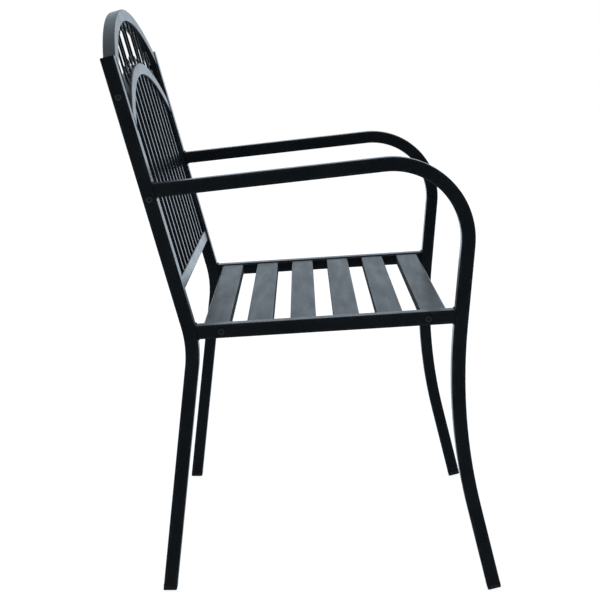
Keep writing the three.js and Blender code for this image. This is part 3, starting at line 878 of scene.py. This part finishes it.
def seat():
    """Slats and side bars; each slat's end is welded along its underside and its two edges."""
    welds = bmesh.new()
    low = SEAT_ABOVE * -(SLAT_HEIGHT / 2 - UNDER_WELD_SUNK)
    span = SEAT_ALONG * (SLAT_WIDTH / 2 - UNDER_WELD_SHORT)
    for index in range(SLAT_COUNT):
        middle = slat(index)
        for _, sign in SIDES:
            end = middle + ACROSS * sign * (PANEL_END + GAP)
            for edge in (-1, 1):
                corner = end + SEAT_ALONG * edge * (SLAT_WIDTH / 2) * END_WELD_REACH
                add_straight_bead(welds, corner + low, corner - low * END_WELD_TOP, SLAT_END_BEAD)
            add_straight_bead(welds, end + low - span, end + low + span, SLAT_UNDER_BEAD)
    piece("seat_welds", welds, "slat_powder_coat")
    for side, sign in SIDES:
        seat_bar(side, sign)


# ---- bolts ----------------------------------------------------------------------------------
BOLT_SEGMENTS = 48
HEAD_PROFILE = (                 # (inwards from the rim, out from the tube's face)
    (0.0004, 0.0), (0.0, 0.0004), (0.0, 0.0009), (0.0005, 0.0016), (0.0014, 0.0024), (0.0024, 0.0030))
SOCKET = 0.0040                  # across the flats of the hexagon socket
SOCKET_LAND = 0.0009             # flat ring round the socket
SOCKET_DEPTH = 0.0020
SOCKET_LEVELS = ((0.0002, 0.0001), (0.0, 0.0003), (0.0, SOCKET_DEPTH))   # (chamfer, below the dome)
DRILL_POINT = (0.0004, 0.0006)   # radius and depth of the dimple in the socket's floor


def hexagon_radius(angle):
    """Distance from the middle to the side of the socket's hexagon."""
    local = (angle % (math.pi / 3)) - math.pi / 6
    return SOCKET / 2 / math.cos(local)


def bolt(place, which, side, centre, sign):
    """Button head with a hexagon socket on the outer face of a side frame."""
    angles = [2 * math.pi * i / BOLT_SEGMENTS for i in range(BOLT_SEGMENTS)]
    circles = [(BOLT_HEAD / 2 - inwards, height) for inwards, height in HEAD_PROFILE]
    circles.append((SOCKET / 2 + SOCKET_LAND, BOLT_DOME))
    rings = [[circle for _ in angles] for circle in circles]
    for chamfer, depth in SOCKET_LEVELS:
        rings.append([(hexagon_radius(angle) + chamfer, BOLT_DOME - depth) for angle in angles])
    dimple_radius, dimple_depth = DRILL_POINT
    rings.append([(dimple_radius, BOLT_DOME - SOCKET_DEPTH - dimple_depth) for _ in angles])
    out = ACROSS * sign
    placed = []
    for ring in rings:
        points = []
        for angle, (radius, height) in zip(angles, ring):
            around = BACK_UP * radius * math.cos(angle) + BACK_OUT * radius * math.sin(angle)
            points.append((centre + out * height + around, 0.0))
        placed.append(points)
    bm = bmesh.new()
    add_rings(bm, placed)
    name = f"{place}_bolt_head_{which}_{side}"
    piece(name, bm, "bolt_black_zinc", f"{place}_bolt_{which}_{side}")


def bolts():
    for side, sign in SIDES:
        outer = ACROSS * sign * (FRAME_WIDTH / 2)
        for which, up in zip(("lower", "upper"), POST_BOLTS_UP):
            bolt("post", which, side, back_point(up) + outer, sign)
        for which, along in zip(("rear", "front"), SEAT_BOLTS):
            bolt("seat", which, side, seat_point(along) + outer, sign)


# ---- stage, light and camera ----------------------------------------------------------------
FLOOR_HALF = 8.0


def stage():
    """The floor; the gloss of the chair doesn't show it."""
    bm = bmesh.new()
    bmesh.ops.create_grid(bm, x_segments=1, y_segments=1, size=FLOOR_HALF)
    mesh = bpy.data.meshes.new("floor")
    bm.to_mesh(mesh)
    bm.free()
    mesh.materials.append(floor_white("floor_white"))
    floor = bpy.data.objects.new("floor", mesh)
    bpy.context.scene.collection.objects.link(floor)
    floor.visible_glossy = False


COOL = (0.76, 0.88, 1.0)
BACKDROP_STRENGTH = 2.2
BACKDROP_EDGE = (-0.20, 0.45)    # the view direction's X where the backdrop starts and is full
BACKDROP = (                     # (Z of the view direction, brightness)
    (-0.55, 0.02), (-0.30, 0.45), (-0.10, 0.68), (0.08, 0.60),
    (0.17, 0.50), (0.26, 0.36), (0.70, 0.28), (1.0, 0.30))
SURROUNDINGS = 0.008             # away from the backdrop
OVERHEAD = 0.26                  # the upper surroundings, as a share of the backdrop's brightness
OVERHEAD_EDGE = (0.15, 0.45)     # the view direction's Z where they start and are full


def smooth_step(tree, value, edge, full=1.0):
    """Rises smoothly from 0 to full between the edge's two values."""
    node = tree.nodes.new("ShaderNodeMapRange")
    node.interpolation_type = "SMOOTHSTEP"
    node.inputs["From Min"].default_value = edge[0]
    node.inputs["From Max"].default_value = edge[1]
    node.inputs["To Max"].default_value = full
    tree.links.new(value, node.inputs["Value"])
    return node.outputs["Result"]


def backdrop_colour(tree, up):
    """The backdrop's cool light, by height."""
    height = tree.nodes.new("ShaderNodeMapRange")
    height.inputs["From Min"].default_value = -1.0
    tree.links.new(up, height.inputs["Value"])
    ramp = tree.nodes.new("ShaderNodeValToRGB")
    ramp.color_ramp.interpolation = "EASE"
    stops = ramp.color_ramp.elements
    while len(stops) < len(BACKDROP):
        stops.new(1.0)
    for stop, (z, level) in zip(stops, BACKDROP):
        stop.position = (z + 1) / 2
        stop.color = (*(level * tint for tint in COOL), 1)
    tree.links.new(height.outputs["Result"], ramp.inputs["Fac"])
    return ramp.outputs["Color"]


def studio_light():
    """White for the camera; the chair gets a bright backdrop behind it and dim light elsewhere."""
    world = bpy.data.worlds.new("studio")
    world.use_nodes = True
    bpy.context.scene.world = world
    tree = world.node_tree
    nodes, links = tree.nodes, tree.links
    direction = nodes.new("ShaderNodeTexCoord")
    axes = nodes.new("ShaderNodeSeparateXYZ")
    links.new(direction.outputs["Generated"], axes.inputs[0])

    bright = nodes.new("ShaderNodeMath")
    bright.operation = "MAXIMUM"
    links.new(smooth_step(tree, axes.outputs["X"], BACKDROP_EDGE), bright.inputs[0])
    links.new(smooth_step(tree, axes.outputs["Z"], OVERHEAD_EDGE, OVERHEAD), bright.inputs[1])

    shade = nodes.new("ShaderNodeMix")
    shade.data_type = "RGBA"
    colour_a, colour_b, mixed_colour = shade.inputs[6], shade.inputs[7], shade.outputs[2]
    colour_a.default_value = (*(SURROUNDINGS * tint for tint in COOL), 1)
    links.new(bright.outputs["Value"], shade.inputs["Factor"])
    links.new(backdrop_colour(tree, axes.outputs["Z"]), colour_b)
    lit = nodes["Background"]
    lit.inputs["Strength"].default_value = BACKDROP_STRENGTH
    links.new(mixed_colour, lit.inputs["Color"])

    white = nodes.new("ShaderNodeBackground")
    white.inputs["Color"].default_value = (1, 1, 1, 1)
    seen = nodes.new("ShaderNodeLightPath")
    choice = nodes.new("ShaderNodeMixShader")
    links.new(seen.outputs["Is Camera Ray"], choice.inputs["Fac"])
    links.new(lit.outputs["Background"], choice.inputs[1])
    links.new(white.outputs["Background"], choice.inputs[2])
    links.new(choice.outputs["Shader"], nodes["World Output"].inputs["Surface"])


CAMERA_PLACE = (-2.3365, 0.0046, 0.8783)     # beside the chair, above its armrests
CAMERA_DOWN = 11.04
CAMERA_TURN = -90.04
LENS = 80                        # millimetres, as is the sensor
SENSOR = 36


def camera():
    data = bpy.data.cameras.new("camera")
    data.lens = LENS
    data.sensor_width = SENSOR
    made = bpy.data.objects.new("camera", data)
    made.location = CAMERA_PLACE
    made.rotation_euler = (math.radians(90 - CAMERA_DOWN), 0, math.radians(CAMERA_TURN))
    bpy.context.scene.collection.objects.link(made)
    bpy.context.scene.camera = made


# ---- the scene ------------------------------------------------------------------------------
for side_name, side_sign in SIDES:
    side_frame(side_name, side_sign)
    post_cap(side_name, side_sign)
    foot_cap(side_name, side_sign, "rear", turned_back(POST_LINE[0]), on_floor=True)
    foot_cap(side_name, side_sign, "front", ARM_LINE[-1], on_floor=False)
back_panel()
seat()
bolts()
stage()
studio_light()
camera()
bpy.context.scene.view_settings.view_transform = "Standard"
